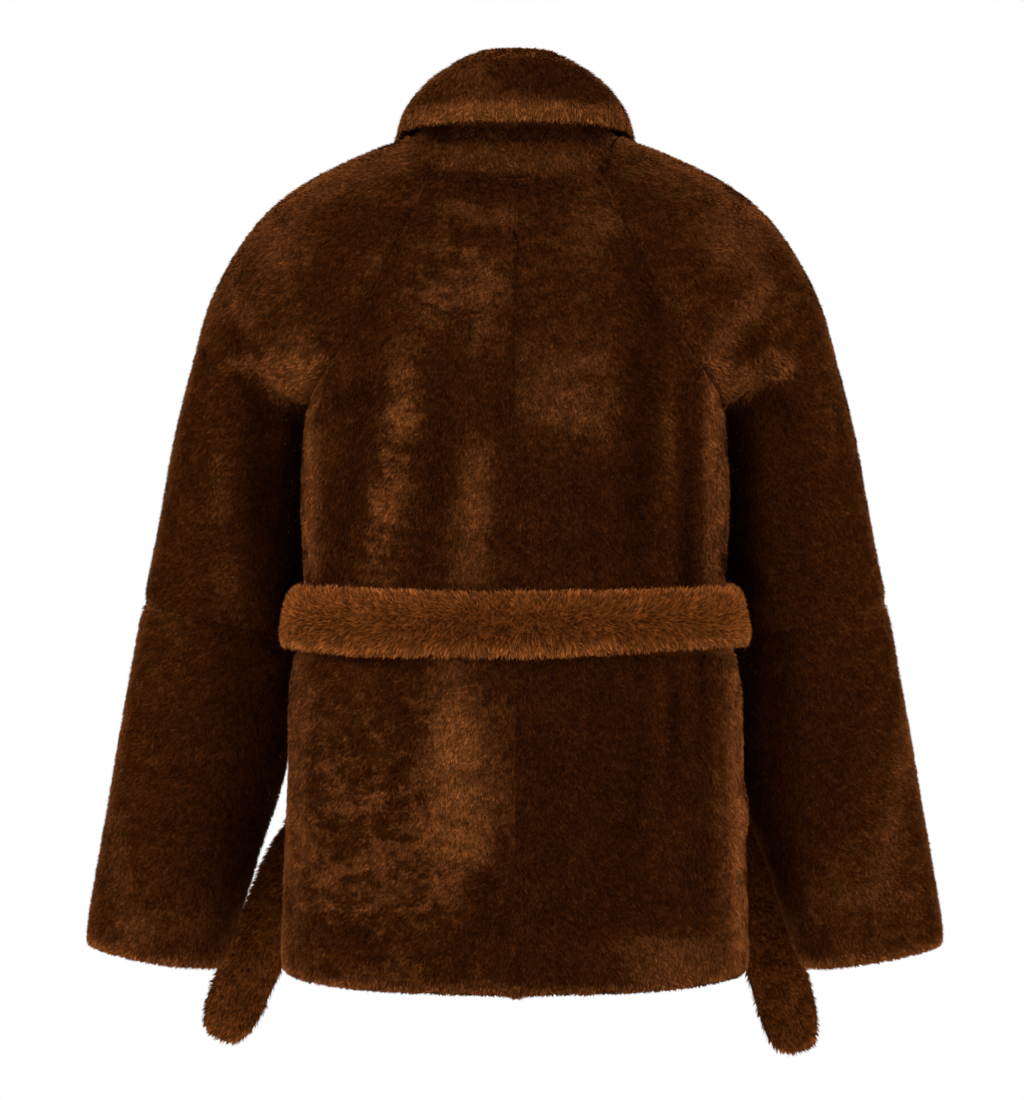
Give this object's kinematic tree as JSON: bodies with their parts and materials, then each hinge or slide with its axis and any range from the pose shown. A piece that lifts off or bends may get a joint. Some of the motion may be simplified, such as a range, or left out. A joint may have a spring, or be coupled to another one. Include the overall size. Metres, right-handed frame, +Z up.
{
  "type": "shearling coat",
  "caption": "Short belted shearling coat, fur side out, with a big turned collar and raglan sleeves, filled out as if worn.",
  "frame": {"origin": "the middle of the wearer's neck at shoulder height, where the coat hangs from the shoulders", "axes": "+Z up, the coat's front towards -Y, and the wearer's left side towards +X"},
  "size_m": [0.7296, 0.3131, 0.85],
  "materials": {
    "coat_fur": "dense brown pile, matt, with a soft nap",
    "belt_fur": "lighter and longer brown pile, matt"
  },
  "bodies": {
    "root": {"back_left": "coat_fur", "back_right": "coat_fur", "front_left": "coat_fur", "front_right": "coat_fur", "sleeve_upper_left": "coat_fur", "sleeve_upper_right": "coat_fur", "sleeve_lower_left": "coat_fur", "sleeve_lower_right": "coat_fur", "collar": "coat_fur", "belt": "belt_fur", "belt_knot": "belt_fur", "belt_end_left": "belt_fur", "belt_end_right": "belt_fur"}
  },
  "joints": []
}
